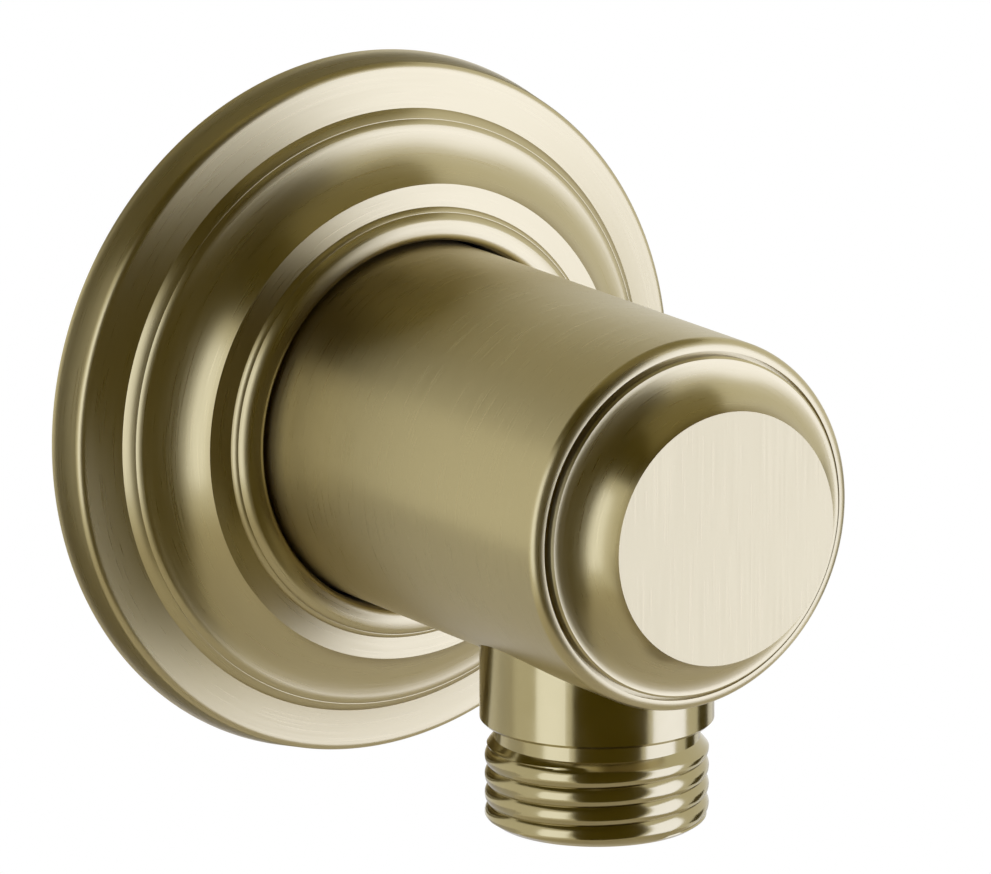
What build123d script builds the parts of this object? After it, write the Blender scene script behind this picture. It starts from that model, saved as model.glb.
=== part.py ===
from build123d import *
import os

# Shower wall outlet elbow, in millimetres.
# The wall is the plane y = 0 and the barrel runs out of it along -Y, with its axis through the origin.
# The hose nipple points down, along -Z.  A depth is a distance from the wall.

# Barrel
barrel_r = 17.55
barrel_back = 2.0
barrel_back_bevel = 0.6
rim_depth = 56.85
rim_round = 1.1
rim_land = 0.05
waterway_r = 6.0

# Inlet for the half-inch pipe in the wall
inlet_r = 9.316
inlet_thread_len = 15.0
inlet_mouth_bevel = 1.3

# End cap, seated in a recess behind the barrel's rim
reveal_gap = 0.4
recess_depth = 0.6
cap_lip_proud = 0.65
cap_lip_land = 0.4
cap_rise = 4.75
cap_cove_width = 3.7
cap_cove_r = 4.9
cap_spigot_r = 10.5
cap_spigot_len = 5.5
cap_spigot_bevel = 0.4
cap_spigot_room = 0.25
cap_core_r = 7.0
cap_core_depth = 4.0
plug_clearance = 0.05

# Escutcheon, from its bore outwards and from its rim forwards
bore_gap = 0.35
bore_round = 0.75
ring3_width = 1.9
ring3_slope = 0.15
step2_upper = 0.68
step2_upper_rise = 0.75
step2_upper_round = 1.6
step2_line = 0.05
step2_lower = 0.42
step2_lower_rise = 0.55
step2_lower_round = 0.9
ring2_width = 2.13
ring2_slope = 0.31
cove_width = 4.92
cove_rise = 3.99
cove_r = 7.0
step1_upper = 0.5
step1_upper_rise = 0.48
step1_upper_round = 1.6
step1_line = 0.05
step1_lower = 0.85
step1_lower_rise = 0.94
step1_lower_round = 3.0
ring1_width = 3.42
ring1_slope = 0.85
ring1_depth = 4.08
flange_round = 0.8
flange_draft = 0.55
rim_wall = 2.4
face_wall = 2.0
core_gap = 0.4

# Grip ring in the escutcheon's bore
grip_depth = 4.6
grip_width = 2.4
grip_groove = 1.45
grip_back_wall = 1.9
grip_clearance = 0.05
hub_wall = 1.2

# Outlet nipple, a half-inch parallel thread under a collar
outlet_web = 1.25
seat_sink = 4.55
collar_len = 8.93
collar_step = 0.4825
collar_bevel = 0.3
collar_shoulder = 2.96
collar_clearance = 0.06
thread_r = 10.4775
thread_depth = 0.8275
thread_lead = 0.5
thread_len = 7.0
thread_bevel = 0.9
thread_bevel_len = 0.6
neck_len = 1.6
neck_wall = 2.05
nipple_spigot_len = 5.8
nipple_spigot_bevel = 0.4
nipple_spigot_room = 0.2
spigot_wall = 1.3
spigot_clearance = 0.05
pocket_roof = 1.0
pocket_mouth_bevel = 0.4

# Seals in square grooves
seal_bevel = 0.45
seal_side_room = 0.15
cap_seal_groove = 1.4
cap_seal_width = 2.2
cap_seal_back = 1.1
nipple_seal_groove = 1.1
nipple_seal_width = 2.0
nipple_seal_below = 1.6

# Non-return valve in the nipple's pocket
valve_clearance = 0.1
valve_len = 13.0
valve_bevel = 0.4
valve_seal_groove = 1.0
valve_seal_width = 1.6
valve_seal_below = 1.2
housing_wall = 1.7
seat_width = 1.6
seat_thickness = 3.4
guide_len = 2.4
guide_ring = 0.95
guide_hub_wall = 1.45
guide_arm = 1.5
guide_arms = 3
guide_clearance = 0.05
snap_rise = 0.3
snap_len = 0.8
snap_below = 0.8
stem_r = 1.25
stem_clearance = 0.1
stem_past_guide = 1.0
head_gap = 0.6
head_thickness = 1.0
washer_thickness = 0.8
washer_hole_r = 1.8
button_rim = 0.6
button_len = 0.7
spring_wire_r = 0.2
spring_stem_gap = 0.75
spring_turns = 4.5
spring_end_room = 0.02

# Places on the barrel's axis
recess_r = barrel_r - rim_round - rim_land
recess_floor = rim_depth - recess_depth
cap_lip_r = recess_r - reveal_gap
cap_lip_depth = rim_depth + cap_lip_proud
cap_face_r = cap_lip_r - cap_lip_land - cap_cove_width
cap_face_depth = cap_lip_depth + cap_rise
cap_spigot_end = recess_floor - cap_spigot_len
cap_bore_end = cap_spigot_end - cap_spigot_room
cap_bore_r = cap_spigot_r + plug_clearance
inlet_end = barrel_back + inlet_thread_len
inlet_cone_end = inlet_end + (inlet_r - waterway_r)

# Places on the nipple's axis
neck_r = thread_r - thread_depth
collar_r = thread_r + collar_step
nipple_spigot_r = collar_r - collar_shoulder
nipple_groove_r = nipple_spigot_r - nipple_seal_groove
port_r = nipple_groove_r - spigot_wall
spigot_hole_r = nipple_spigot_r + spigot_clearance
pocket_r = neck_r - neck_wall
outlet_depth = cap_bore_end - outlet_web - spigot_hole_r
collar_seat_z = seat_sink - barrel_r
collar_end_z = collar_seat_z - collar_len
nipple_top_z = collar_seat_z + nipple_spigot_len
neck_end_z = collar_end_z - neck_len
thread_end_z = neck_end_z - thread_lead - thread_len
nipple_end_z = thread_end_z - thread_bevel_len
pocket_roof_z = collar_seat_z - pocket_roof
seat_z = pocket_roof_z - seat_thickness
valve_end_z = pocket_roof_z - valve_len
guide_top_z = valve_end_z + guide_len
head_top_z = seat_z - washer_thickness
head_under_z = head_top_z - head_thickness


def at(radius, depth):
    """A point of a profile that turns about the barrel's axis."""
    return (radius, -depth)


def turned(outline):
    """The solid that a closed profile sweeps about the barrel's axis."""
    return revolve(make_face(outline), Axis.Y)


def on_nipple(solid):
    """A solid made about the Z axis, moved to the nipple's axis."""
    return Pos(0, -outlet_depth, 0) * solid


def turned_nipple(outline):
    """The solid that a closed profile of radius and height sweeps about the nipple's axis."""
    return on_nipple(revolve(Plane.XZ * make_face(outline), Axis.Z))


def nipple_cylinder(radius, bottom_z, top_z):
    """A cylinder on the nipple's axis between two heights."""
    return on_nipple(Pos(0, 0, (bottom_z + top_z) / 2) * Cylinder(radius, top_z - bottom_z))


def seal_section(inner_r, outer_r, low, high):
    """The section of a ring that is squeezed into a square groove."""
    width = outer_r - inner_r
    height = high - low
    section = Rectangle(width, height)
    section = chamfer(section.vertices(), min(seal_bevel, 0.3 * width, 0.3 * height))
    return Pos((inner_r + outer_r) / 2, (low + high) / 2) * section


# Elbow body: the barrel with its waterway, then the seat and the port for the nipple
barrel_outline = Polyline(
    at(recess_r, rim_depth),
    at(recess_r, recess_floor),
    at(cap_bore_r, recess_floor),
    at(cap_bore_r, cap_bore_end),
    at(waterway_r, cap_bore_end),
    at(waterway_r, inlet_cone_end),
    at(inlet_r, inlet_end),
    at(inlet_r, barrel_back + inlet_mouth_bevel),
    at(inlet_r + inlet_mouth_bevel, barrel_back),
    at(barrel_r - barrel_back_bevel, barrel_back),
    at(barrel_r, barrel_back + barrel_back_bevel),
    at(barrel_r, rim_depth - rim_round),
)
barrel_outline += RadiusArc(
    at(barrel_r, rim_depth - rim_round),
    at(barrel_r - rim_round, rim_depth),
    rim_round,
)
barrel_outline += Line(at(barrel_r - rim_round, rim_depth), at(recess_r, rim_depth))
elbow_body = turned(barrel_outline)
elbow_body -= nipple_cylinder(collar_r + collar_clearance, collar_seat_z - 2 * barrel_r, collar_seat_z)
elbow_body -= nipple_cylinder(spigot_hole_r, collar_seat_z, nipple_top_z + nipple_spigot_room)
elbow_body -= nipple_cylinder(port_r, collar_seat_z, 0)

# End cap: the face, the hollow-curved shoulder, the lip, and the spigot with its seal groove
cap_groove_end = recess_floor - cap_seal_back
cap_groove_start = cap_groove_end - cap_seal_width
cap_groove_r = cap_spigot_r - cap_seal_groove
cap_core_end = cap_spigot_end + cap_core_depth
cove_foot = at(cap_lip_r - cap_lip_land, cap_lip_depth)
cap_outline = RadiusArc(at(cap_face_r, cap_face_depth), cove_foot, cap_cove_r)
cap_outline += Polyline(
    cove_foot,
    at(cap_lip_r - 0.5 * cap_lip_land, cap_lip_depth),
    at(cap_lip_r, cap_lip_depth - 0.5 * cap_lip_land),
    at(cap_lip_r, recess_floor),
    at(cap_spigot_r, recess_floor),
    at(cap_spigot_r, cap_groove_end),
    at(cap_groove_r, cap_groove_end),
    at(cap_groove_r, cap_groove_start),
    at(cap_spigot_r, cap_groove_start),
    at(cap_spigot_r, cap_spigot_end + cap_spigot_bevel),
    at(cap_spigot_r - cap_spigot_bevel, cap_spigot_end),
    at(cap_core_r, cap_spigot_end),
    at(cap_core_r, cap_core_end),
    at(0, cap_core_end),
    at(0, cap_face_depth),
    at(cap_face_r, cap_face_depth),
)
end_cap = turned(cap_outline)

cap_seal = seal_section(
    cap_groove_r,
    cap_bore_r,
    seal_side_room - cap_groove_end,
    -cap_groove_start - seal_side_room,
)
end_cap_o_ring = revolve(cap_seal, Axis.Y)

# Escutcheon: three sloping rings, two double steps and a cove, over a hollow back with a hub
bore_r = barrel_r + bore_gap
step2_top_r = bore_r + ring3_width
step2_line_r = step2_top_r + step2_upper
step2_middle_r = step2_line_r + step2_line
ring2_inner_r = step2_middle_r + step2_lower
ring2_outer_r = ring2_inner_r + ring2_width
step1_top_r = ring2_outer_r + cove_width
step1_line_r = step1_top_r + step1_upper
step1_middle_r = step1_line_r + step1_line
step1_foot_r = step1_middle_r + step1_lower
ring1_outer_r = step1_foot_r + ring1_width
band_front_r = ring1_outer_r + flange_round
flange_r = band_front_r + flange_draft

ring1_inner_depth = ring1_depth + ring1_slope
step1_middle_depth = ring1_inner_depth + step1_lower_rise
step1_top_depth = step1_middle_depth + step1_upper_rise
ring2_depth = step1_top_depth + cove_rise
ring2_inner_depth = ring2_depth + ring2_slope
step2_middle_depth = ring2_inner_depth + step2_lower_rise
step2_top_depth = step2_middle_depth + step2_upper_rise
front_depth = step2_top_depth + ring3_slope

grip_front = grip_depth + grip_width
grip_r = bore_r + grip_groove
hub_r = grip_r + hub_wall
hub_back = grip_depth - grip_back_wall
core_top_depth = ring2_depth - face_wall

plate_outline = Line(at(flange_r, 0), at(band_front_r, ring1_depth - flange_round))
plate_outline += RadiusArc(
    at(band_front_r, ring1_depth - flange_round),
    at(ring1_outer_r, ring1_depth),
    flange_round,
)
plate_outline += Line(at(ring1_outer_r, ring1_depth), at(step1_foot_r, ring1_inner_depth))
plate_outline += RadiusArc(
    at(step1_foot_r, ring1_inner_depth),
    at(step1_middle_r, step1_middle_depth),
    step1_lower_round,
)
plate_outline += Line(at(step1_middle_r, step1_middle_depth), at(step1_line_r, step1_middle_depth))
plate_outline += RadiusArc(
    at(step1_line_r, step1_middle_depth),
    at(step1_top_r, step1_top_depth),
    step1_upper_round,
)
plate_outline += RadiusArc(
    at(step1_top_r, step1_top_depth),
    at(ring2_outer_r, ring2_depth),
    -cove_r,
)
plate_outline += Line(at(ring2_outer_r, ring2_depth), at(ring2_inner_r, ring2_inner_depth))
plate_outline += RadiusArc(
    at(ring2_inner_r, ring2_inner_depth),
    at(step2_middle_r, step2_middle_depth),
    step2_lower_round,
)
plate_outline += Line(at(step2_middle_r, step2_middle_depth), at(step2_line_r, step2_middle_depth))
plate_outline += RadiusArc(
    at(step2_line_r, step2_middle_depth),
    at(step2_top_r, step2_top_depth),
    step2_upper_round,
)
plate_outline += Line(at(step2_top_r, step2_top_depth), at(bore_r + bore_round, front_depth))
plate_outline += RadiusArc(
    at(bore_r + bore_round, front_depth),
    at(bore_r, front_depth - bore_round),
    bore_round,
)
plate_outline += Polyline(
    at(bore_r, front_depth - bore_round),
    at(bore_r, grip_front),
    at(grip_r, grip_front),
    at(grip_r, grip_depth),
    at(bore_r, grip_depth),
    at(bore_r, hub_back),
    at(hub_r, hub_back),
    at(hub_r, core_top_depth),
    at(hub_r + core_gap, core_top_depth),
    at(step1_foot_r - face_wall, ring1_inner_depth - face_wall),
    at(flange_r - rim_wall, ring1_depth - face_wall),
    at(flange_r - rim_wall, 0),
    at(flange_r, 0),
)
escutcheon = turned(plate_outline)

grip_seal = seal_section(
    barrel_r + grip_clearance,
    grip_r,
    seal_side_room - grip_front,
    -grip_depth - seal_side_room,
)
escutcheon_o_ring = revolve(grip_seal, Axis.Y)

# Outlet nipple: spigot, collar, relief neck and thread, round the pocket of the valve
nipple_groove_low = collar_seat_z + nipple_seal_below
nipple_groove_high = nipple_groove_low + nipple_seal_width
outlet_nipple = turned_nipple(
    Polyline(
        (port_r, nipple_top_z),
        (nipple_spigot_r - nipple_spigot_bevel, nipple_top_z),
        (nipple_spigot_r, nipple_top_z - nipple_spigot_bevel),
        (nipple_spigot_r, nipple_groove_high),
        (nipple_groove_r, nipple_groove_high),
        (nipple_groove_r, nipple_groove_low),
        (nipple_spigot_r, nipple_groove_low),
        (nipple_spigot_r, collar_seat_z),
        (collar_r, collar_seat_z),
        (collar_r, collar_end_z + collar_bevel),
        (collar_r - collar_bevel, collar_end_z),
        (neck_r, collar_end_z),
        (neck_r, neck_end_z),
        (thread_r, neck_end_z - thread_lead),
        (thread_r, thread_end_z),
        (thread_r - thread_bevel, nipple_end_z),
        (pocket_r + pocket_mouth_bevel, nipple_end_z),
        (pocket_r, nipple_end_z + pocket_mouth_bevel),
        (pocket_r, pocket_roof_z),
        (port_r, pocket_roof_z),
        close=True,
    )
)

nipple_seal = seal_section(
    nipple_groove_r,
    spigot_hole_r,
    nipple_groove_low + seal_side_room,
    nipple_groove_high - seal_side_room,
)
nipple_o_ring = on_nipple(revolve(Plane.XZ * nipple_seal, Axis.Z))

# Valve housing: the seat at the top, the chamber below it and a snap groove for the guide
housing_r = pocket_r - valve_clearance
chamber_r = housing_r - housing_wall
seat_r = chamber_r - seat_width
valve_groove_r = housing_r - valve_seal_groove
valve_groove_high = pocket_roof_z - valve_seal_below
valve_groove_low = valve_groove_high - valve_seal_width
snap_r = chamber_r + snap_rise
snap_low = valve_end_z + snap_below
snap_high = snap_low + snap_len
valve_housing = turned_nipple(
    Polyline(
        (seat_r, pocket_roof_z),
        (housing_r - valve_bevel, pocket_roof_z),
        (housing_r, pocket_roof_z - valve_bevel),
        (housing_r, valve_groove_high),
        (valve_groove_r, valve_groove_high),
        (valve_groove_r, valve_groove_low),
        (housing_r, valve_groove_low),
        (housing_r, valve_end_z),
        (chamber_r, valve_end_z),
        (chamber_r, snap_low),
        (snap_r, snap_low),
        (snap_r, snap_high),
        (chamber_r, snap_high),
        (chamber_r, seat_z),
        (seat_r, seat_z),
        close=True,
    )
)

valve_seal = seal_section(
    valve_groove_r,
    pocket_r,
    valve_groove_low + seal_side_room,
    valve_groove_high - seal_side_room,
)
valve_o_ring = on_nipple(revolve(Plane.XZ * valve_seal, Axis.Z))

# Valve guide: a ring with a snap bead, spokes, and a hub that the stem slides in
guide_r = chamber_r - guide_clearance
guide_bead_r = snap_r - guide_clearance
stem_hole_r = stem_r + stem_clearance
guide_hub_r = stem_hole_r + guide_hub_wall
valve_guide = turned_nipple(
    Polyline(
        (guide_r - guide_ring, valve_end_z),
        (guide_r, valve_end_z),
        (guide_r, snap_low + guide_clearance),
        (guide_bead_r, snap_low + guide_clearance),
        (guide_bead_r, snap_high - guide_clearance),
        (guide_r, snap_high - guide_clearance),
        (guide_r, guide_top_z),
        (guide_r - guide_ring, guide_top_z),
        close=True,
    )
)
valve_guide += nipple_cylinder(guide_hub_r, valve_end_z, guide_top_z)
arm_len = guide_r - 0.5 * guide_ring
arm = Pos(0, -arm_len / 2, valve_end_z + guide_len / 2) * Box(guide_arm, arm_len, guide_len)
for spoke in range(guide_arms):
    valve_guide += on_nipple(Rot(0, 0, 360 * spoke / guide_arms) * arm)
valve_guide -= nipple_cylinder(stem_hole_r, valve_end_z, guide_top_z)

# Valve poppet: the head, the button that holds its washer, and the stem
head_r = chamber_r - head_gap
button_r = washer_hole_r + button_rim
stem_end_z = valve_end_z - stem_past_guide
valve_poppet = turned_nipple(
    Polyline(
        (0, seat_z + button_len),
        (button_r, seat_z + button_len),
        (button_r, seat_z),
        (washer_hole_r, seat_z),
        (washer_hole_r, head_top_z),
        (head_r, head_top_z),
        (head_r, head_under_z),
        (stem_r, head_under_z),
        (stem_r, stem_end_z),
        (0, stem_end_z),
        close=True,
    )
)

poppet_seal = nipple_cylinder(head_r, head_top_z, seat_z)
poppet_seal -= nipple_cylinder(washer_hole_r, head_top_z, seat_z)

# Closing spring between the poppet's head and the guide's hub
spring_r = stem_r + spring_stem_gap + spring_wire_r
spring_low_z = guide_top_z + spring_wire_r + spring_end_room
spring_height = head_under_z - spring_wire_r - spring_end_room - spring_low_z
coil = Helix(spring_height / spring_turns, spring_height, spring_r)
wire = Plane(coil @ 0, z_dir=coil % 0) * Circle(spring_wire_r)
valve_spring = on_nipple(Pos(0, 0, spring_low_z) * sweep(wire, coil, is_frenet=True))

nodes = {
    "elbow_body": elbow_body,
    "end_cap": end_cap,
    "end_cap_o_ring": end_cap_o_ring,
    "escutcheon": escutcheon,
    "escutcheon_o_ring": escutcheon_o_ring,
    "outlet_nipple": outlet_nipple,
    "nipple_o_ring": nipple_o_ring,
    "valve_housing": valve_housing,
    "valve_guide": valve_guide,
    "valve_poppet": valve_poppet,
    "poppet_seal": poppet_seal,
    "valve_spring": valve_spring,
    "valve_o_ring": valve_o_ring,
}

os.makedirs("parts", exist_ok=True)
for name, solid in nodes.items():
    export_step(solid, os.path.join("parts", name + ".step"))
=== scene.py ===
import math

import bmesh
import bpy
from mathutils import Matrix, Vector


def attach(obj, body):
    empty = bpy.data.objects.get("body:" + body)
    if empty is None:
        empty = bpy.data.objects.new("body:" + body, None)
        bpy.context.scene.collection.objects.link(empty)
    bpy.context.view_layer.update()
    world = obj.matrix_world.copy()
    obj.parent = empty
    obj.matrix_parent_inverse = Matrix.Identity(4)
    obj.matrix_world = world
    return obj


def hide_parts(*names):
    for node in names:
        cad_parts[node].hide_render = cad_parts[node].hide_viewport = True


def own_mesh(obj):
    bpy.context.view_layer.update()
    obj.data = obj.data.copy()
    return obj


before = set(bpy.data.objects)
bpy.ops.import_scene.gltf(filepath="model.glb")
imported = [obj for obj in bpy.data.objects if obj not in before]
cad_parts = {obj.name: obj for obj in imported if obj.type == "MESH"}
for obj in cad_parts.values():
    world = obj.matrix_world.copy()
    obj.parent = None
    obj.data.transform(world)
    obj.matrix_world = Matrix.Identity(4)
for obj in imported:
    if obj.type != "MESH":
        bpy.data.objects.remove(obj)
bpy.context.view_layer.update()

# Shower wall outlet elbow in brushed champagne bronze, with a polished hose nipple.
# Lengths are in millimetres and MM turns them to metres.  The wall is y = 0, and a depth
# is a distance from it, along -Y.  The nipple points down, along -Z.  The studio's own
# lengths are in metres.
MM = 0.001

# Barrel
BARREL_R = 17.55
BARREL_BACK = 2.0
BARREL_BACK_BEVEL = 0.6
RIM_DEPTH = 56.85
RIM_ROUND = 1.1
RIM_LAND = 0.05
RECESS_DEPTH = 0.6
CAP_BORE_R = 10.55
CAP_BORE_DEPTH = 50.5
WATERWAY_R = 6.0
INLET_R = 9.316
INLET_END = 17.0
INLET_MOUTH_BEVEL = 1.3
INLET_RUN_OUT = 1.2

# Half-inch thread, 14 turns to the inch, with shallow round ribs on the hose nipple
PITCH = 1.814
THREAD_R = 10.4775
THREAD_SPARE_TURNS = 2
HOSE_RIB_DEPTH = 0.36
HOSE_RIB_SHIFT = 0.9
HOSE_LEAD_IN = 1.0

# Nipple
NIPPLE_DEPTH = 41.2
COLLAR_R = 10.96
COLLAR_TOP = -13.0
COLLAR_END = -21.93
COLLAR_BEVEL = 0.3
COLLAR_CLEARANCE = 0.06
NECK_R = 9.65
NECK_END = -23.53
THREAD_END = -31.03
NIPPLE_END = -31.63
NIPPLE_END_R = 9.5775
NIPPLE_TOP = -7.2
SPIGOT_R = 8.0
SPIGOT_HOLE_R = 8.05
SPIGOT_HOLE_TOP = -7.0
SPIGOT_BEVEL = 0.4
SPIGOT_GROOVE_R = 6.9
SPIGOT_GROOVE_LOW = -11.4
SPIGOT_GROOVE_HIGH = -9.4
PORT_R = 5.6
POCKET_R = 7.6
POCKET_ROOF = -14.0
POCKET_MOUTH_BEVEL = 0.4

# Closing spring of the valve
SPRING_R = 2.2
SPRING_WIRE_R = 0.2
SPRING_LOW = -24.38
SPRING_HIGH = -19.42
SPRING_TURNS = 4.5

# End cap, as radius and depth of the corners of its outline
FACE_DEPTH = 62.25
CAP_FACE_EDGE = (11.9, FACE_DEPTH)
CAP_COVE_FOOT = (15.6, 57.5)
CAP_COVE_R = 4.9
CAP_LIP_R = 16.0
CAP_LIP_BEVEL = 0.2
CAP_SPIGOT_R = 10.5
CAP_SPIGOT_END = 50.75
CAP_SPIGOT_BEVEL = 0.4
CAP_GROOVE_R = 9.1
CAP_GROOVE_BACK = 52.95
CAP_GROOVE_FRONT = 55.15
CAP_CORE_R = 7.0
CAP_CORE_END = 54.75

# Escutcheon, as radius and depth of the corners of its outline
FLANGE_BACK = (34.17, 0.0)
FLANGE_FRONT = (33.62, 3.28)
FLANGE_ROUND = 0.8
RING1_OUTER = (32.82, 4.08)
RING1_INNER = (29.4, 4.93)
STEP1_LOWER_ROUND = 3.0
STEP1_LOWER_TOP = (28.55, 5.87)
STEP1_LINE = (28.5, 5.87)
STEP1_UPPER_ROUND = 1.6
STEP1_TOP = (28.0, 6.35)
COVE_R = 7.0
RING2_OUTER = (23.08, 10.34)
RING2_INNER = (20.95, 10.65)
STEP2_LOWER_ROUND = 0.9
STEP2_LOWER_TOP = (20.53, 11.2)
STEP2_LINE = (20.48, 11.2)
STEP2_UPPER_ROUND = 1.6
STEP2_TOP = (19.8, 11.95)
BORE_R = 17.9
BORE_ROUND = 0.75
PLATE_FRONT = 12.1
GRIP_GROOVE_R = 19.35
GRIP_GROOVE_BACK = 4.6
GRIP_GROOVE_FRONT = 7.0
HUB_R = 20.55
HUB_BACK = 2.7
CORE_TOP = 8.34
CORE_GAP = 0.4
CORE_FOOT = (27.4, 2.93)
CORE_R = 31.77
CORE_EDGE = 2.08

# Rubber rings
# The grip ring lies on the barrel, so that no light comes through between them.
GRIP_RING_R = 17.56
VALVE_RING_R = 6.5
WASHER_R = (1.8, 5.2)

# How finely round shapes are divided
BARREL_SEGMENTS = 144
BARREL_RIB_POINTS = 10
NIPPLE_SEGMENTS = 160
NIPPLE_RIB_POINTS = 14
SEAT_SEGMENTS = 160
CAP_SEGMENTS = 224
PLATE_SEGMENTS = 288
RUBBER_SEGMENTS = 120
SPRING_SEGMENTS = 270
SPRING_WIRE_SIDES = 14
COVE_STEPS = 20
ROUND_STEPS = 10
FLANGE_STEPS = 8
STEP1_STEPS = 6
STEP2_LOWER_STEPS = 5
STEP2_UPPER_STEPS = 7
RUBBER_CORNER_STEPS = 5

# Edges sharper than this, in degrees, stay sharp
CREASE = 32
RUBBER_CREASE = 40
SPRING_CREASE = 50

# Points nearer than this are one point, and edges nearer than this to a place lie at it
MERGE_REACH = 0.0005
CUT_REACH = 0.0001
PLACE_REACH = 0.01

# Finish of the metal
BRONZE_DEEP = "#AC9F73"
BRONZE_PALE = "#B8AB7E"
POLISH_DEEP = "#A0946A"
POLISH_PALE = "#AA9E74"
BRUSHED_ROUGHNESS = 0.3
BRUSHED_SPREAD = 0.05
BRUSHED_ANISOTROPY = 0.6
POLISHED_ROUGHNESS = 0.16
POLISHED_SPREAD = 0.03
# Brush strokes are about 0.05 mm apart on such a finish and are drawn wider here so that
# they show.
BRUSH_SPACING = 0.15
BRUSH_DEPTH = 0.001
BRUSH_BUMP = 0.3
# A stroke runs on for about this part of a turn, in radians, and on the end face its
# pattern is this share as fine along the stroke as across it.
STROKE_TURN = 0.35
FACE_STROKE_STRETCH = 0.012
BRUSH_CLOUD = 14.0
CLOUD_SHARE = 0.4
LATHE_RING = 0.12
LATHE_DEPTH = 0.001
LATHE_BUMP = 0.3
POLISH_SMEAR = 3.0
# Painted light in the escutcheon's bore: behind its mouth the metal turns dull, rough and
# ochre, standing in for light that bounces into the narrow gap round the barrel, so that the
# gap shows dark olive instead of black.
PAINTED_LIGHT_BORE_R = 18.0
PAINTED_LIGHT_FRONT = 12.0
PAINTED_LIGHT_FULL = 11.4
PAINTED_LIGHT_ROUGHNESS = 0.7
PAINTED_LIGHT_BRONZE = "#B8A050"
GRAIN_BUMP = 0.4
# Most of a noise pattern lies between these values.
NOISE_LOW = 0.25
NOISE_HIGH = 0.75

# Studio, in metres but for the strip of wall round the flange
FLOOR_R = 2.13
FLOOR_HEIGHT = -1.6
FLOOR_SEGMENTS = 96
STRIP_INNER_R = 34.6
STRIP_OUTER_R = 38.0
STRIP_SEGMENTS = 128
WORLD_SEEN = 1.0
WORLD_LIGHT = 0.9

# Camera, at the photograph's view
CAMERA_PLACE = Vector((-0.5351, -0.8315, 0.2491))
CAMERA_AIM = Vector((0.00046, -0.02339, 0.00126))
CAMERA_LENS = 386.2
CAMERA_SENSOR = 36.0
CAMERA_NEAR = 0.05
CAMERA_FAR = 20.0

BARREL_AXIS = {
    "along": Vector((0, -1, 0)),
    "foot": Vector((0, 0, 0)),
    "turn": (math.pi / 2, 0, 0),
}
NIPPLE_AXIS = {
    "along": Vector((0, 0, 1)),
    "foot": Vector((0, -NIPPLE_DEPTH * MM, 0)),
    "turn": (0, 0, 0),
}


# Modelling

def on_axis(axis, place):
    """The point of a turning axis at a place along it."""
    return axis["foot"] + axis["along"] * place * MM


def start_ring(name, axis, radius, place, segments):
    """A circle about an axis, open for extruding in edit mode."""
    bpy.ops.object.select_all(action="DESELECT")
    bpy.ops.mesh.primitive_circle_add(
        vertices=segments,
        radius=radius * MM,
        location=on_axis(axis, place),
        rotation=axis["turn"],
    )
    ring = bpy.context.object
    ring.name = name
    bpy.ops.object.transform_apply(location=True, rotation=True, scale=True)
    bpy.ops.object.mode_set(mode="EDIT")
    bpy.context.tool_settings.mesh_select_mode = (False, True, False)
    bpy.ops.mesh.select_all(action="SELECT")
    return ring


def draw_out(axis, start, outline):
    """Extrudes the selected ring through the radii and places of an outline."""
    radius, place = start
    for next_radius, next_place in outline:
        bpy.ops.mesh.extrude_edges_move(
            TRANSFORM_OT_translate={"value": axis["along"] * (next_place - place) * MM}
        )
        ratio = next_radius / radius
        stretch = [1 if part else ratio for part in axis["along"]]
        bpy.ops.transform.resize(value=stretch, center_override=on_axis(axis, next_place))
        radius, place = next_radius, next_place


def select_edges(wanted):
    """Selects the edges of the mesh in edit mode that pass a test."""
    bpy.ops.mesh.select_all(action="DESELECT")
    shape = bmesh.from_edit_mesh(bpy.context.object.data)
    for edge in shape.edges:
        if wanted(edge):
            edge.select_set(True)
    bmesh.update_edit_mesh(bpy.context.object.data)


def bridge_open_rings():
    """Joins the two open rings of the mesh in edit mode."""
    select_edges(lambda edge: edge.is_boundary)
    bpy.ops.mesh.bridge_edge_loops()


def fill_open_rings():
    """Closes every open ring of the mesh in edit mode with a face."""
    select_edges(lambda edge: edge.is_boundary)
    bpy.ops.mesh.edge_face_add()


def dress_mesh(piece, crease=CREASE):
    """Merges doubles, turns the faces outwards and smooths all but the creases."""
    bpy.ops.object.mode_set(mode="OBJECT")
    bpy.ops.object.select_all(action="DESELECT")
    piece.select_set(True)
    bpy.context.view_layer.objects.active = piece
    bpy.ops.object.mode_set(mode="EDIT")
    bpy.ops.mesh.select_all(action="SELECT")
    bpy.ops.mesh.remove_doubles(threshold=MERGE_REACH * MM)
    bpy.ops.mesh.normals_make_consistent(inside=False)
    bpy.ops.object.mode_set(mode="OBJECT")
    bpy.ops.object.shade_smooth_by_angle(angle=math.radians(crease))


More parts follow.
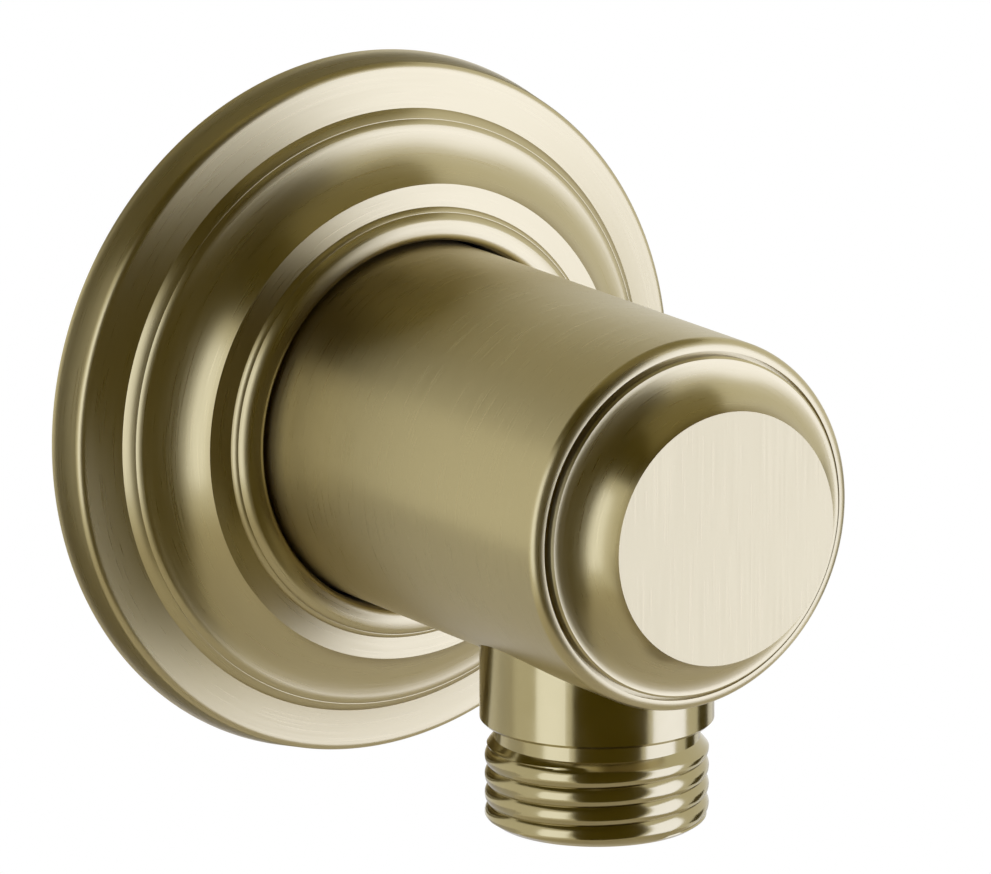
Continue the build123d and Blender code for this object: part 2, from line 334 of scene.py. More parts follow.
def thread_band(name, axis, depth, shift, bottom, top, steps, rib_points):
    """A band of right-hand thread about an axis, cut off square at two places and left in
    edit mode."""
    bpy.ops.object.select_all(action="DESELECT")
    bpy.ops.mesh.primitive_plane_add(size=MM)
    band = bpy.context.object
    band.name = name
    bpy.ops.object.mode_set(mode="EDIT")
    bpy.context.tool_settings.mesh_select_mode = (True, False, False)
    bpy.ops.mesh.merge(type="CENTER")
    start = bottom - THREAD_SPARE_TURNS * PITCH + shift
    rib = []
    for point in range(rib_points + 1):
        share = point / rib_points
        rib.append((THREAD_R - depth * (2 * share - 1) ** 2, start + share * PITCH))
    bpy.ops.transform.translate(value=(rib[0][0] * MM, 0, rib[0][1] * MM))
    for here, there in zip(rib, rib[1:]):
        step = ((there[0] - here[0]) * MM, 0, (there[1] - here[1]) * MM)
        bpy.ops.mesh.extrude_vertices_move(TRANSFORM_OT_translate={"value": step})
    bpy.ops.object.mode_set(mode="OBJECT")
    winding = band.modifiers.new("winding", "SCREW")
    winding.axis = "Z"
    winding.angle = 2 * math.pi
    winding.screw_offset = PITCH * MM
    winding.iterations = math.ceil((top - bottom) / PITCH) + 2 * THREAD_SPARE_TURNS
    winding.steps = steps
    winding.render_steps = steps
    bpy.ops.object.modifier_apply(modifier=winding.name)
    band.rotation_euler = axis["turn"]
    band.location = axis["foot"]
    bpy.ops.object.transform_apply(location=True, rotation=True, scale=True)
    bpy.ops.object.mode_set(mode="EDIT")
    bpy.ops.mesh.select_all(action="SELECT")
    bpy.ops.mesh.remove_doubles(threshold=MERGE_REACH * MM)
    for place, side in ((bottom, -1), (top, 1)):
        bpy.ops.mesh.select_all(action="SELECT")
        bpy.ops.mesh.bisect(
            plane_co=on_axis(axis, place),
            plane_no=axis["along"] * side,
            clear_outer=True,
            threshold=CUT_REACH * MM,
        )
    bpy.context.tool_settings.mesh_select_mode = (False, True, False)
    return band


def hold_radius(axis, limit):
    """Moves the points of the mesh in edit mode to the radius that a limit gives them."""
    mesh = bpy.context.object.data
    shape = bmesh.from_edit_mesh(mesh)
    for vert in shape.verts:
        place = (vert.co - axis["foot"]).dot(axis["along"])
        middle = axis["foot"] + axis["along"] * place
        spoke = vert.co - middle
        radius = spoke.length / MM
        vert.co = middle + spoke * (limit(radius, place / MM) / radius)
    bmesh.update_edit_mesh(mesh)


def select_end_ring(axis, place):
    """Selects the open ring of the mesh in edit mode at a place on an axis."""
    def at_place(edge):
        middle = (edge.verts[0].co + edge.verts[1].co) / 2
        away = abs((middle - on_axis(axis, place)).dot(axis["along"]))
        return edge.is_boundary and away < PLACE_REACH * MM
    select_edges(at_place)


def quarter_round(middle, radius, start, stop, steps):
    """Points of an arc in an outline of radius and place, from one angle in degrees to
    another."""
    points = []
    for step in range(steps + 1):
        angle = math.radians(start + (stop - start) * step / steps)
        points.append(
            (middle[0] + radius * math.cos(angle), middle[1] + radius * math.sin(angle))
        )
    return points


def arc_between(start, stop, radius, steps):
    """Points of the short arc from one point of an outline to another, about a middle on
    the left of the way, or on the right for a radius below zero."""
    step = Vector(stop) - Vector(start)
    left = Vector((-step.y, step.x)).normalized()
    height = math.sqrt(radius ** 2 - (step.length / 2) ** 2)
    middle = (Vector(start) + Vector(stop)) / 2 + left * math.copysign(height, radius)
    first = Vector(start) - middle
    sweep = 2 * math.asin(step.length / (2 * abs(radius)))
    points = []
    for count in range(1, steps + 1):
        angle = math.copysign(sweep, radius) * count / steps
        turned = Vector(
            (
                first.x * math.cos(angle) - first.y * math.sin(angle),
                first.x * math.sin(angle) + first.y * math.cos(angle),
            )
        )
        points.append(tuple(middle + turned))
    return points


def cut_with(piece, tool):
    """Cuts one closed mesh with another and clears the cutter away."""
    bpy.ops.object.select_all(action="DESELECT")
    piece.select_set(True)
    bpy.context.view_layer.objects.active = piece
    cut = piece.modifiers.new("cut", "BOOLEAN")
    cut.operation = "DIFFERENCE"
    cut.solver = "EXACT"
    cut.object = tool
    bpy.ops.object.modifier_apply(modifier=cut.name)
    bpy.data.objects.remove(tool)


def nipple_seat_tool():
    """The stepped cutter of the nipple's seat, its spigot hole and the port into the
    waterway."""
    below = COLLAR_TOP - 2 * BARREL_R
    seat_r = COLLAR_R + COLLAR_CLEARANCE
    tool = start_ring("seat_tool", NIPPLE_AXIS, seat_r, below, SEAT_SEGMENTS)
    outline = [
        (seat_r, COLLAR_TOP),
        (SPIGOT_HOLE_R, COLLAR_TOP),
        (SPIGOT_HOLE_R, SPIGOT_HOLE_TOP),
        (PORT_R, SPIGOT_HOLE_TOP),
        (PORT_R, 0),
    ]
    draw_out(NIPPLE_AXIS, (seat_r, below), outline)
    fill_open_rings()
    dress_mesh(tool)
    return tool


def make_barrel():
    """The barrel: a threaded inlet, the waterway, the cap's bore and recess, and the round
    outside."""
    mouth_r = INLET_R + INLET_MOUTH_BEVEL
    barrel = thread_band(
        "barrel",
        BARREL_AXIS,
        depth=THREAD_R - INLET_R,
        shift=0,
        bottom=BARREL_BACK,
        top=INLET_END,
        steps=BARREL_SEGMENTS,
        rib_points=BARREL_RIB_POINTS,
    )

    def inlet_limit(radius, depth):
        run_out = INLET_R + max(0, INLET_END - depth) / INLET_RUN_OUT
        return max(min(radius, run_out), mouth_r - (depth - BARREL_BACK), INLET_R)

    hold_radius(BARREL_AXIS, inlet_limit)
    select_end_ring(BARREL_AXIS, INLET_END)
    recess_r = BARREL_R - RIM_ROUND - RIM_LAND
    rim_middle = (BARREL_R - RIM_ROUND, RIM_DEPTH - RIM_ROUND)
    outline = [
        (WATERWAY_R, INLET_END + INLET_R - WATERWAY_R),
        (WATERWAY_R, CAP_BORE_DEPTH),
        (CAP_BORE_R, CAP_BORE_DEPTH),
        (CAP_BORE_R, RIM_DEPTH - RECESS_DEPTH),
        (recess_r, RIM_DEPTH - RECESS_DEPTH),
        (recess_r, RIM_DEPTH),
    ]
    outline += quarter_round(rim_middle, RIM_ROUND, 90, 0, ROUND_STEPS)
    outline += [
        (BARREL_R, BARREL_BACK + BARREL_BACK_BEVEL),
        (BARREL_R - BARREL_BACK_BEVEL, BARREL_BACK),
    ]
    draw_out(BARREL_AXIS, (INLET_R, INLET_END), outline)
    bridge_open_rings()
    dress_mesh(barrel)
    cut_with(barrel, nipple_seat_tool())
    dress_mesh(barrel)
    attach(barrel, "elbow")
    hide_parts("elbow_body")
    return barrel


def make_cap():
    """The end cap: the flat face, the hollow shoulder, the lip, and the spigot with its
    seal groove."""
    seat = RIM_DEPTH - RECESS_DEPTH
    cap = start_ring("cap", BARREL_AXIS, *CAP_FACE_EDGE, CAP_SEGMENTS)
    outline = arc_between(CAP_FACE_EDGE, CAP_COVE_FOOT, CAP_COVE_R, COVE_STEPS)
    outline += [
        (CAP_LIP_R - CAP_LIP_BEVEL, CAP_COVE_FOOT[1]),
        (CAP_LIP_R, CAP_COVE_FOOT[1] - CAP_LIP_BEVEL),
        (CAP_LIP_R, seat),
        (CAP_SPIGOT_R, seat),
        (CAP_SPIGOT_R, CAP_GROOVE_FRONT),
        (CAP_GROOVE_R, CAP_GROOVE_FRONT),
        (CAP_GROOVE_R, CAP_GROOVE_BACK),
        (CAP_SPIGOT_R, CAP_GROOVE_BACK),
        (CAP_SPIGOT_R, CAP_SPIGOT_END + CAP_SPIGOT_BEVEL),
        (CAP_SPIGOT_R - CAP_SPIGOT_BEVEL, CAP_SPIGOT_END),
        (CAP_CORE_R, CAP_SPIGOT_END),
        (CAP_CORE_R, CAP_CORE_END),
    ]
    draw_out(BARREL_AXIS, CAP_FACE_EDGE, outline)
    fill_open_rings()
    dress_mesh(cap)
    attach(cap, "elbow")
    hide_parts("end_cap")
    return cap


def make_escutcheon():
    """The escutcheon: three sloping rings, two double steps and a cove, over a hollow back
    with a hub."""
    plate = start_ring("wall_escutcheon", BARREL_AXIS, *FLANGE_BACK, PLATE_SEGMENTS)
    ring3_inner = (BORE_R + BORE_ROUND, PLATE_FRONT)
    bore_mouth = (BORE_R, PLATE_FRONT - BORE_ROUND)
    outline = [
        FLANGE_FRONT,
        *arc_between(FLANGE_FRONT, RING1_OUTER, FLANGE_ROUND, FLANGE_STEPS),
        RING1_INNER,
        *arc_between(RING1_INNER, STEP1_LOWER_TOP, STEP1_LOWER_ROUND, STEP1_STEPS),
        STEP1_LINE,
        *arc_between(STEP1_LINE, STEP1_TOP, STEP1_UPPER_ROUND, STEP1_STEPS),
        *arc_between(STEP1_TOP, RING2_OUTER, -COVE_R, COVE_STEPS),
        RING2_INNER,
        *arc_between(RING2_INNER, STEP2_LOWER_TOP, STEP2_LOWER_ROUND, STEP2_LOWER_STEPS),
        STEP2_LINE,
        *arc_between(STEP2_LINE, STEP2_TOP, STEP2_UPPER_ROUND, STEP2_UPPER_STEPS),
        ring3_inner,
        *arc_between(ring3_inner, bore_mouth, BORE_ROUND, ROUND_STEPS),
        (BORE_R, GRIP_GROOVE_FRONT),
        (GRIP_GROOVE_R, GRIP_GROOVE_FRONT),
        (GRIP_GROOVE_R, GRIP_GROOVE_BACK),
        (BORE_R, GRIP_GROOVE_BACK),
        (BORE_R, HUB_BACK),
        (HUB_R, HUB_BACK),
        (HUB_R, CORE_TOP),
        (HUB_R + CORE_GAP, CORE_TOP),
        CORE_FOOT,
        (CORE_R, CORE_EDGE),
        (CORE_R, 0),
    ]
    draw_out(BARREL_AXIS, FLANGE_BACK, outline)
    bridge_open_rings()
    dress_mesh(plate)
    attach(plate, "wall_plate")
    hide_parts("escutcheon")
    return plate


def make_nipple():
    """The hose nipple: rounded thread ribs, neck, collar and spigot, and the valve's pocket
    inside."""
    nipple = thread_band(
        "hose_nipple",
        NIPPLE_AXIS,
        depth=HOSE_RIB_DEPTH,
        shift=HOSE_RIB_SHIFT,
        bottom=NIPPLE_END,
        top=NECK_END,
        steps=NIPPLE_SEGMENTS,
        rib_points=NIPPLE_RIB_POINTS,
    )
    lead_in = (THREAD_R - NECK_R) / HOSE_LEAD_IN
    end_bevel = (THREAD_R - NIPPLE_END_R) / (THREAD_END - NIPPLE_END)

    def hose_limit(radius, height):
        return min(
            radius,
            NECK_R + max(0, NECK_END - height) * lead_in,
            NIPPLE_END_R + max(0, height - NIPPLE_END) * end_bevel,
        )

    hold_radius(NIPPLE_AXIS, hose_limit)
    select_end_ring(NIPPLE_AXIS, NECK_END)
    outline = [
        (NECK_R, COLLAR_END),
        (COLLAR_R - COLLAR_BEVEL, COLLAR_END),
        (COLLAR_R, COLLAR_END + COLLAR_BEVEL),
        (COLLAR_R, COLLAR_TOP),
        (SPIGOT_R, COLLAR_TOP),
        (SPIGOT_R, SPIGOT_GROOVE_LOW),
        (SPIGOT_GROOVE_R, SPIGOT_GROOVE_LOW),
        (SPIGOT_GROOVE_R, SPIGOT_GROOVE_HIGH),
        (SPIGOT_R, SPIGOT_GROOVE_HIGH),
        (SPIGOT_R, NIPPLE_TOP - SPIGOT_BEVEL),
        (SPIGOT_R - SPIGOT_BEVEL, NIPPLE_TOP),
        (PORT_R, NIPPLE_TOP),
        (PORT_R, POCKET_ROOF),
        (POCKET_R, POCKET_ROOF),
        (POCKET_R, NIPPLE_END + POCKET_MOUTH_BEVEL),
        (POCKET_R + POCKET_MOUTH_BEVEL, NIPPLE_END),
    ]
    draw_out(NIPPLE_AXIS, (NECK_R, NECK_END), outline)
    bridge_open_rings()
    dress_mesh(nipple)
    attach(nipple, "elbow")
    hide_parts("outlet_nipple")
    return nipple


def make_spring():
    """The closing spring, a round wire wound about the nipple's axis, which shortens as the
    valve opens."""
    bpy.ops.object.select_all(action="DESELECT")
    bpy.ops.mesh.primitive_circle_add(
        vertices=SPRING_WIRE_SIDES,
        radius=SPRING_WIRE_R * MM,
        location=(SPRING_R * MM, 0, SPRING_LOW * MM),
        rotation=(math.pi / 2, 0, 0),
    )
    spring = bpy.context.object
    spring.name = "closing_spring"
    bpy.ops.object.transform_apply(location=True, rotation=True, scale=True)
    winding = spring.modifiers.new("winding", "SCREW")
    winding.axis = "Z"
    winding.angle = 2 * math.pi * SPRING_TURNS
    winding.screw_offset = (SPRING_HIGH - SPRING_LOW) * MM
    winding.steps = SPRING_SEGMENTS
    winding.render_steps = SPRING_SEGMENTS
    bpy.ops.object.modifier_apply(modifier=winding.name)
    spring.location = NIPPLE_AXIS["foot"]
    bpy.ops.object.transform_apply(location=True, rotation=True, scale=True)
    bpy.ops.object.mode_set(mode="EDIT")
    bpy.context.tool_settings.mesh_select_mode = (False, True, False)
    fill_open_rings()
    dress_mesh(spring, SPRING_CREASE)
    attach(spring, "elbow")
    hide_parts("valve_spring")
    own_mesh(spring)
    return spring


def make_rubber_ring(name, node, body, axis, radii, ends, corner):
    """A rubber ring squeezed into its groove, with rounded corners, from its inner and
    outer radius and its lower and upper end."""
    inner_r, outer_r = radii
    low, high = ends
    corners = (
        ((outer_r - corner, low + corner), -90),
        ((outer_r - corner, high - corner), 0),
        ((inner_r + corner, high - corner), 90),
        ((inner_r + corner, low + corner), 180),
    )
    outline = []
    for middle, start in corners:
        outline += quarter_round(middle, corner, start, start + 90, RUBBER_CORNER_STEPS)
    ring = start_ring(name, axis, *outline[0], RUBBER_SEGMENTS)
    draw_out(axis, outline[0], outline[1:])
    bridge_open_rings()
    dress_mesh(ring, RUBBER_CREASE)
    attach(ring, body)
    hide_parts(node)
    return ring


# Materials

def linear(code):
    """An sRGB hex colour as linear values, fully opaque."""
    values = []
    for place in (1, 3, 5):
        share = int(code[place:place + 2], 16) / 255
        values.append(share / 12.92 if share <= 0.04045 else ((share + 0.055) / 1.055) ** 2.4)
    return (*values, 1.0)


def add_node(tree, kind, settings=None, links=None):
    """Adds a node, sets its properties and free sockets, and links its inputs."""
    node = tree.nodes.new("ShaderNode" + kind)
    for key, value in (settings or {}).items():
        if isinstance(key, str) and hasattr(node, key):
            setattr(node, key, value)
        else:
            node.inputs[key].default_value = value
    for key, socket in (links or {}).items():
        tree.links.new(socket, node.inputs[key])
    return node


def new_material(name):
    """An empty node material and its tree."""
    material = bpy.data.materials.new(name)
    material.use_nodes = True
    material.node_tree.nodes.clear()
    return material, material.node_tree


def brushed_bronze(name, face_depth=None, painted_light_r=None):
    """Champagne bronze on brass, brushed on the lathe: fine strokes run round the barrel's
    axis, so a reflection spreads along the turned outline.  On an end face at face_depth the
    strokes stand upright.  A bore within the radius of the last argument gets painted light:
    behind its mouth it turns dull, rough and ochre."""
    material, tree = new_material(name)
    place = add_node(tree, "TexCoord").outputs["Object"]
    depth = add_node(tree, "SeparateXYZ", links={0: place}).outputs["Y"]
    across = add_node(
        tree, "VectorMath", {"operation": "MULTIPLY", 1: (1, 0, 1)}, {0: place}
    ).outputs[0]
    radius = add_node(
        tree, "VectorMath", {"operation": "LENGTH"}, {0: across}
    ).outputs["Value"]
    spoke = add_node(tree, "VectorMath", {"operation": "NORMALIZE"}, {0: across}).outputs[0]
    around = add_node(
        tree, "VectorMath", {"operation": "CROSS_PRODUCT", 1: (0, 1, 0)}, {0: spoke}
    ).outputs[0]
    normal = add_node(tree, "NewGeometry").outputs["Normal"]
    tangent = add_node(
        tree, "VectorMath", {"operation": "CROSS_PRODUCT"}, {0: normal, 1: around}
    ).outputs[0]
    turn = add_node(
        tree,
        "VectorMath",
        {"operation": "SCALE", "Scale": BRUSH_SPACING * MM / STROKE_TURN},
        {0: spoke},
    ).outputs[0]
    turn_parts = add_node(tree, "SeparateXYZ", links={0: turn})
    stroke_place = add_node(
        tree, "CombineXYZ", links={0: radius, 1: depth, 2: turn_parts.outputs["X"]}
    ).outputs[0]
    stroke_w = turn_parts.outputs["Z"]
    if face_depth:
        on_face = add_node(
            tree,
            "Math",
            {"operation": "LESS_THAN", 1: (PLACE_REACH - face_depth) * MM},
            {0: depth},
        ).outputs[0]
        upright = add_node(
            tree,
            "VectorMath",
            {"operation": "MULTIPLY", 1: (1, 1, FACE_STROKE_STRETCH)},
            {0: place},
        ).outputs[0]
        stroke_place = add_node(
            tree,
            "Mix",
            {"data_type": "VECTOR"},
            {0: on_face, 4: stroke_place, 5: upright},
        ).outputs[1]
        off_face = add_node(
            tree, "Math", {"operation": "SUBTRACT", 0: 1.0}, {1: on_face}
        ).outputs[0]
        stroke_w = add_node(
            tree, "Math", {"operation": "MULTIPLY"}, {0: stroke_w, 1: off_face}
        ).outputs[0]
        tangent = add_node(
            tree, "Mix", {"data_type": "VECTOR", 5: (1, 0, 0)}, {0: on_face, 4: tangent}
        ).outputs[1]
    strokes = add_node(
        tree,
        "TexNoise",
        {
            "noise_dimensions": "4D",
            "Scale": 1 / (BRUSH_SPACING * MM),
            "Detail": 3.0,
            "Roughness": 0.6,
        },
        {"Vector": stroke_place, "W": stroke_w},
    ).outputs[0]
    cloud = add_node(
        tree, "TexNoise", {"Scale": 1 / (BRUSH_CLOUD * MM), "Detail": 2.0}, {"Vector": place}
    ).outputs[0]
    tone = add_node(
        tree, "Mix", {"data_type": "FLOAT", 0: CLOUD_SHARE}, {2: strokes, 3: cloud}
    ).outputs[0]
    colour = add_node(
        tree,
        "Mix",
        {"data_type": "RGBA", 6: linear(BRONZE_DEEP), 7: linear(BRONZE_PALE)},
        {0: tone},
    ).outputs[2]
    roughness = add_node(
        tree,
        "MapRange",
        {
            1: NOISE_LOW,
            2: NOISE_HIGH,
            3: BRUSHED_ROUGHNESS - BRUSHED_SPREAD,
            4: BRUSHED_ROUGHNESS + BRUSHED_SPREAD,
        },
        {0: strokes},
    ).outputs[0]
    bump = add_node(
        tree,
        "Bump",
        {"Strength": BRUSH_BUMP, "Distance": BRUSH_DEPTH * MM},
        {"Height": strokes},
    ).outputs[0]
    surface = {"Base Color": colour, "Roughness": roughness, "Normal": bump, "Tangent": tangent}
    # Painted light: inside the bore, behind its mouth, the metal turns dull, rough and ochre,
    # standing in for light that bounces into the gap round the barrel.
    if painted_light_r:
        in_bore = add_node(
            tree, "Math", {"operation": "LESS_THAN", 1: painted_light_r * MM}, {0: radius}
        ).outputs[0]
        behind_mouth = add_node(
            tree, "MapRange", {1: -PAINTED_LIGHT_FRONT * MM, 2: -PAINTED_LIGHT_FULL * MM}, {0: depth}
        ).outputs[0]
        painted_light = add_node(
            tree, "Math", {"operation": "MULTIPLY"}, {0: in_bore, 1: behind_mouth}
        ).outputs[0]
        surface["Metallic"] = add_node(
            tree, "Math", {"operation": "SUBTRACT", 0: 1.0}, {1: painted_light}
        ).outputs[0]
        surface["Base Color"] = add_node(
            tree, "Mix", {"data_type": "RGBA", 7: linear(PAINTED_LIGHT_BRONZE)}, {0: painted_light, 6: colour}
        ).outputs[2]
        surface["Roughness"] = add_node(
            tree, "Mix", {"data_type": "FLOAT", 3: PAINTED_LIGHT_ROUGHNESS}, {0: painted_light, 2: roughness}
        ).outputs[0]
    shader = add_node(
        tree,
        "BsdfPrincipled",
        {"Metallic": 1.0, "Anisotropic": BRUSHED_ANISOTROPY},
        surface,
    )
    add_node(tree, "OutputMaterial", links={"Surface": shader.outputs[0]})
    return material


def polished_bronze(name):
    """Champagne bronze on brass, polished: clear reflections with faint lathe rings left
    under the buffing."""
    material, tree = new_material(name)
    place = add_node(tree, "TexCoord").outputs["Object"]
    centred = add_node(
        tree, "VectorMath", {"operation": "ADD", 1: (0, NIPPLE_DEPTH * MM, 0)}, {0: place}
    ).outputs[0]
    height = add_node(tree, "SeparateXYZ", links={0: centred}).outputs["Z"]
    across = add_node(
        tree, "VectorMath", {"operation": "MULTIPLY", 1: (1, 1, 0)}, {0: centred}
    ).outputs[0]
    radius = add_node(
        tree, "VectorMath", {"operation": "LENGTH"}, {0: across}
    ).outputs["Value"]
    ring_place = add_node(tree, "CombineXYZ", links={0: radius, 2: height}).outputs[0]
    rings = add_node(
        tree,
        "TexNoise",
        {"Scale": 1 / (LATHE_RING * MM), "Detail": 2.0},
        {"Vector": ring_place},
    ).outputs[0]
    smears = add_node(
        tree, "TexNoise", {"Scale": 1 / (POLISH_SMEAR * MM), "Detail": 3.0}, {"Vector": place}
    ).outputs[0]
    colour = add_node(
        tree,
        "Mix",
        {"data_type": "RGBA", 6: linear(POLISH_DEEP), 7: linear(POLISH_PALE)},
        {0: smears},
    ).outputs[2]
    roughness = add_node(
        tree,
        "MapRange",
        {
            1: NOISE_LOW,
            2: NOISE_HIGH,
            3: POLISHED_ROUGHNESS - POLISHED_SPREAD,
            4: POLISHED_ROUGHNESS + POLISHED_SPREAD,
        },
        {0: smears},
    ).outputs[0]
    bump = add_node(
        tree,
        "Bump",
        {"Strength": LATHE_BUMP, "Distance": LATHE_DEPTH * MM},
        {"Height": rings},
    ).outputs[0]
    shader = add_node(
        tree,
        "BsdfPrincipled",
        {"Metallic": 1.0},
        {"Base Color": colour, "Roughness": roughness, "Normal": bump},
    )
    add_node(tree, "OutputMaterial", links={"Surface": shader.outputs[0]})
    return material


def grained_material(name, deep, pale, grain, rough, bump_depth, settings):
    """A material with a fine even grain in its colour, roughness and relief."""
    material, tree = new_material(name)
    place = add_node(tree, "TexCoord").outputs["Object"]
    grains = add_node(
        tree, "TexNoise", {"Scale": 1 / (grain * MM), "Detail": 4.0}, {"Vector": place}
    ).outputs[0]
    colour = add_node(
        tree, "Mix", {"data_type": "RGBA", 6: linear(deep), 7: linear(pale)}, {0: grains}
    ).outputs[2]
    roughness = add_node(
        tree, "MapRange", {1: NOISE_LOW, 2: NOISE_HIGH, 3: rough[0], 4: rough[1]}, {0: grains}
    ).outputs[0]
    bump = add_node(
        tree,
        "Bump",
        {"Strength": GRAIN_BUMP, "Distance": bump_depth * MM},
        {"Height": grains},
    ).outputs[0]
    shader = add_node(
        tree,
        "BsdfPrincipled",
        settings,
        {"Base Color": colour, "Roughness": roughness, "Normal": bump},
    )
    add_node(tree, "OutputMaterial", links={"Surface": shader.outputs[0]})
    return material


# Studio

def toward(azimuth, elevation):
    """The direction from the object to a place round it: azimuth 0 is in front, 90 on the
    right."""
    turn = math.radians(azimuth)
    rise = math.radians(elevation)
    return Vector(
        (math.sin(turn) * math.cos(rise), -math.cos(turn) * math.cos(rise), math.sin(rise))
    )


def stand_card(name, azimuth, elevation, distance, width, height, finish):
    """A card that faces the object, out of the camera's sight, and shows only in the metal."""
    away = toward(azimuth, elevation)
    bpy.ops.object.select_all(action="DESELECT")
    bpy.ops.mesh.primitive_plane_add(size=1, location=away * distance)
    card = bpy.context.object
    card.name = name
    card.scale = (width, height, 1)
    card.rotation_euler = away.to_track_quat("Z", "Y").to_euler()
    bpy.ops.object.transform_apply(location=True, rotation=True, scale=True)
    card.visible_camera = False
    card.data.materials.append(finish)


def softbox(name, azimuth, elevation, distance, width, height, level, colour):
    """A rectangular soft lamp that faces the object, at a given brightness of its front."""
    away = toward(azimuth, elevation)
    lamp = bpy.data.lights.new(name, "AREA")
    lamp.shape = "RECTANGLE"
    lamp.size = width
    lamp.size_y = height
    lamp.energy = level * math.pi * width * height
    lamp.color = linear(colour)[:3]
    box = bpy.data.objects.new(name, lamp)
    box.location = away * distance
    box.rotation_euler = away.to_track_quat("Z", "Y").to_euler()
    box.visible_camera = False
    bpy.context.scene.collection.objects.link(box)


# The pieces

barrel = make_barrel()
cap = make_cap()
escutcheon = make_escutcheon()
nipple = make_nipple()
spring = make_spring()
rubber_rings = [
    make_rubber_ring(
        "cap_ring",
        "end_cap_o_ring",
        "elbow",
        BARREL_AXIS,
        radii=(CAP_GROOVE_R, CAP_BORE_R),
        ends=(53.1, 55.0),
        corner=0.6,
    ),
    make_rubber_ring(
        "grip_ring",
        "escutcheon_o_ring",
        "wall_plate",
        BARREL_AXIS,
        radii=(GRIP_RING_R, GRIP_GROOVE_R),
        ends=(4.75, 6.85),
        corner=0.7,
    ),
    make_rubber_ring(
        "nipple_ring",
        "nipple_o_ring",
        "elbow",
        NIPPLE_AXIS,
        radii=(SPIGOT_GROOVE_R, SPIGOT_HOLE_R),
        ends=(-11.25, -9.55),
        corner=0.5,
    ),
    make_rubber_ring(
        "valve_ring",
        "valve_o_ring",
        "elbow",
        NIPPLE_AXIS,
        radii=(VALVE_RING_R, POCKET_R),
        ends=(-16.65, -15.35),
        corner=0.45,
    ),
    make_rubber_ring(
        "poppet_washer",
        "poppet_seal",
        "poppet",
        NIPPLE_AXIS,
        radii=WASHER_R,
        ends=(-18.2, -17.4),
        corner=0.12,
    ),
]

barrel_finish = brushed_bronze("brushed_champagne_bronze")
cap_finish = brushed_bronze("brushed_champagne_bronze_cap", face_depth=FACE_DEPTH)
# The plate's bore gets painted light behind its mouth.
plate_finish = brushed_bronze("brushed_champagne_bronze_plate", painted_light_r=PAINTED_LIGHT_BORE_R)
nipple_finish = polished_bronze("polished_champagne_bronze")
# Moulded nitrile rubber: near black, with a dull sheen and a fine bloom.
rubber = grained_material(
    "moulded_nitrile_rubber",
    deep="#141415",
    pale="#232324",
    grain=0.3,
    rough=(0.5, 0.68),
    bump_depth=0.004,
    settings={"IOR": 1.52},
)
# Moulded acetal: waxy white, with a soft sheen.
acetal = grained_material(
    "moulded_white_acetal",
    deep="#E3E1D8",
    pale="#EFEEE8",
    grain=0.6,
    rough=(0.36, 0.48),
    bump_depth=0.002,
    settings={"IOR": 1.48},
)
# Drawn stainless wire: bright, with a faint grain from the drawing.
spring_wire = grained_material(
    "drawn_stainless_wire",
    deep="#B9B8B2",
    pale="#CDCCC8",
    grain=0.08,
    rough=(0.2, 0.3),
    bump_depth=0.001,
    settings={"Metallic": 1.0},
)

for piece, finish in (
    (barrel, barrel_finish),
    (cap, cap_finish),
    (escutcheon, plate_finish),
    (nipple, nipple_finish),
    (spring, spring_wire),
    *((ring, rubber) for ring in rubber_rings),
):
    piece.data.materials.clear()
    piece.data.materials.append(finish)
for node in ("valve_housing", "valve_guide", "valve_poppet"):
    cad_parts[node].material_slots[0].material = acetal

# The studio's surfaces
# Matt brown cloth over the dark cards.
brown_cloth = grained_material(
    "brown_card_cloth",
    deep="#5E5214",
    pale="#6A5E1C",
    grain=4.0,
    rough=(0.85, 0.95),
    bump_depth=0.1,
    settings={"Specular IOR Level": 0.0},
)
# Lighter matt cloth on the card above. On the strip of wall beside the flange the same tan is
# painted shade, standing in for the flange's shadow on the wall.
tan_cloth_and_wall_shade = grained_material(
    "tan_card_cloth_and_wall_shade",
    deep="#A89D6C",
    pale="#B2A776",
    grain=4.0,
    rough=(0.85, 0.95),
    bump_depth=0.1,
    settings={"Specular IOR Level": 0.0},
)
# Pale matt paint on the studio floor.
floor_paint = grained_material(
    "pale_floor_paint",
    deep="#EAE3D2",
    pale="#F1EBDC",
    grain=60.0,
    rough=(0.75, 0.85),
    bump_depth=0.05,
    settings={"Specular IOR Level": 0.1},
)
# Nearly white matt paint on the low wall behind.
wall_paint = grained_material(
    "board_paint",
    deep="#F4F1E8",
    pale="#F9F7F1",
    grain=30.0,
    rough=(0.75, 0.85),
    bump_depth=0.05,
    settings={"Specular IOR Level": 0.1},
)

bpy.ops.object.select_all(action="DESELECT")
bpy.ops.mesh.primitive_circle_add(
    vertices=FLOOR_SEGMENTS, radius=FLOOR_R, fill_type="NGON", location=(0, 0, FLOOR_HEIGHT)
)
floor = bpy.context.object
floor.name = "floor"
bpy.ops.object.transform_apply(location=True, rotation=True, scale=True)
floor.data.materials.append(floor_paint)

# A narrow strip of wall round the flange, which shows only in the metal. Its darker tan is
# painted shade: the flange's shadow on the wall close round it.
wall_shade_strip = start_ring("wall_shade_strip", BARREL_AXIS, STRIP_INNER_R, 0, STRIP_SEGMENTS)
draw_out(BARREL_AXIS, (STRIP_INNER_R, 0), [(STRIP_OUTER_R, 0)])
dress_mesh(wall_shade_strip)
wall_shade_strip.visible_camera = False
wall_shade_strip.data.materials.append(tan_cloth_and_wall_shade)

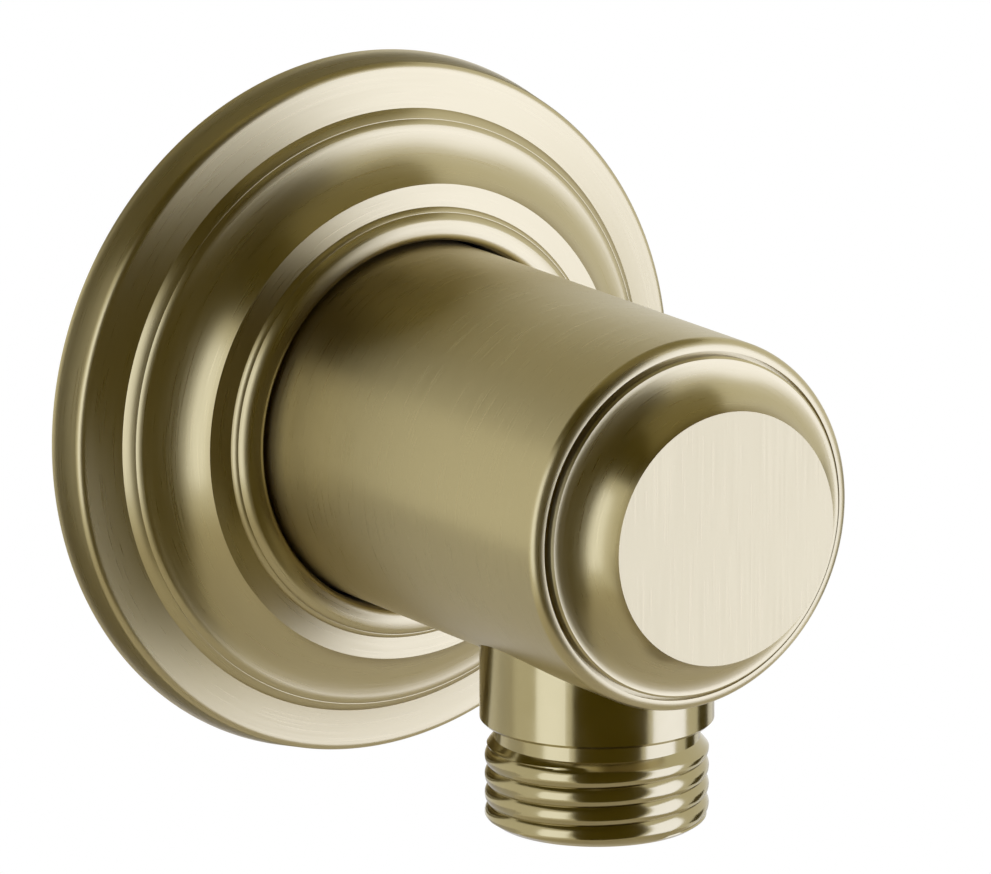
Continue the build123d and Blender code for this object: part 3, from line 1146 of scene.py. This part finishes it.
stand_card(
    "front_card",
    azimuth=-20.0,
    elevation=8.0,
    distance=1.1,
    width=1.72,
    height=2.9,
    finish=brown_cloth,
)
stand_card(
    "ceiling_card",
    azimuth=180.0,
    elevation=82.0,
    distance=1.3,
    width=2.2,
    height=2.3,
    finish=tan_cloth_and_wall_shade,
)
stand_card(
    "back_wall",
    azimuth=180.0,
    elevation=-33.0,
    distance=1.3,
    width=3.6,
    height=0.62,
    finish=wall_paint,
)
stand_card(
    "upper_left_card",
    azimuth=-90.0,
    elevation=55.0,
    distance=1.3,
    width=2.2,
    height=0.9,
    finish=brown_cloth,
)
stand_card(
    "side_strip",
    azimuth=93.0,
    elevation=-18.0,
    distance=1.3,
    width=0.5,
    height=0.5,
    finish=brown_cloth,
)

softbox(
    "right_softbox",
    azimuth=42.0,
    elevation=-5.0,
    distance=1.3,
    width=0.92,
    height=1.85,
    level=3.05,
    colour="#A9B7FF",
)
softbox(
    "left_softbox",
    azimuth=-78.0,
    elevation=0.0,
    distance=1.3,
    width=0.75,
    height=1.3,
    level=1.7,
    colour="#C0CDFF",
)

# A white world, a little brighter where it is seen or mirrored than where it lights.
world = bpy.data.worlds.new("studio")
bpy.context.scene.world = world
world.use_nodes = True
world_tree = world.node_tree
world_tree.nodes.clear()
ray = add_node(world_tree, "LightPath").outputs
seen = ray["Is Camera Ray"]
for kind in ("Is Glossy Ray", "Is Transmission Ray"):
    seen = add_node(
        world_tree, "Math", {"operation": "MAXIMUM"}, {0: seen, 1: ray[kind]}
    ).outputs[0]
strength = add_node(
    world_tree, "MapRange", {3: WORLD_LIGHT, 4: WORLD_SEEN}, {0: seen}
).outputs[0]
sky = add_node(
    world_tree, "Background", {"Color": linear("#FFFFFF")}, {"Strength": strength}
)
add_node(world_tree, "OutputWorld", links={"Surface": sky.outputs[0]})

lens = bpy.data.cameras.new("camera")
lens.lens = CAMERA_LENS
lens.sensor_width = CAMERA_SENSOR
lens.clip_start = CAMERA_NEAR
lens.clip_end = CAMERA_FAR
camera = bpy.data.objects.new("camera", lens)
camera.location = CAMERA_PLACE
camera.rotation_euler = (CAMERA_AIM - CAMERA_PLACE).to_track_quat("-Z", "Y").to_euler()
bpy.context.scene.collection.objects.link(camera)
bpy.context.scene.camera = camera
bpy.context.scene.view_settings.view_transform = "Standard"
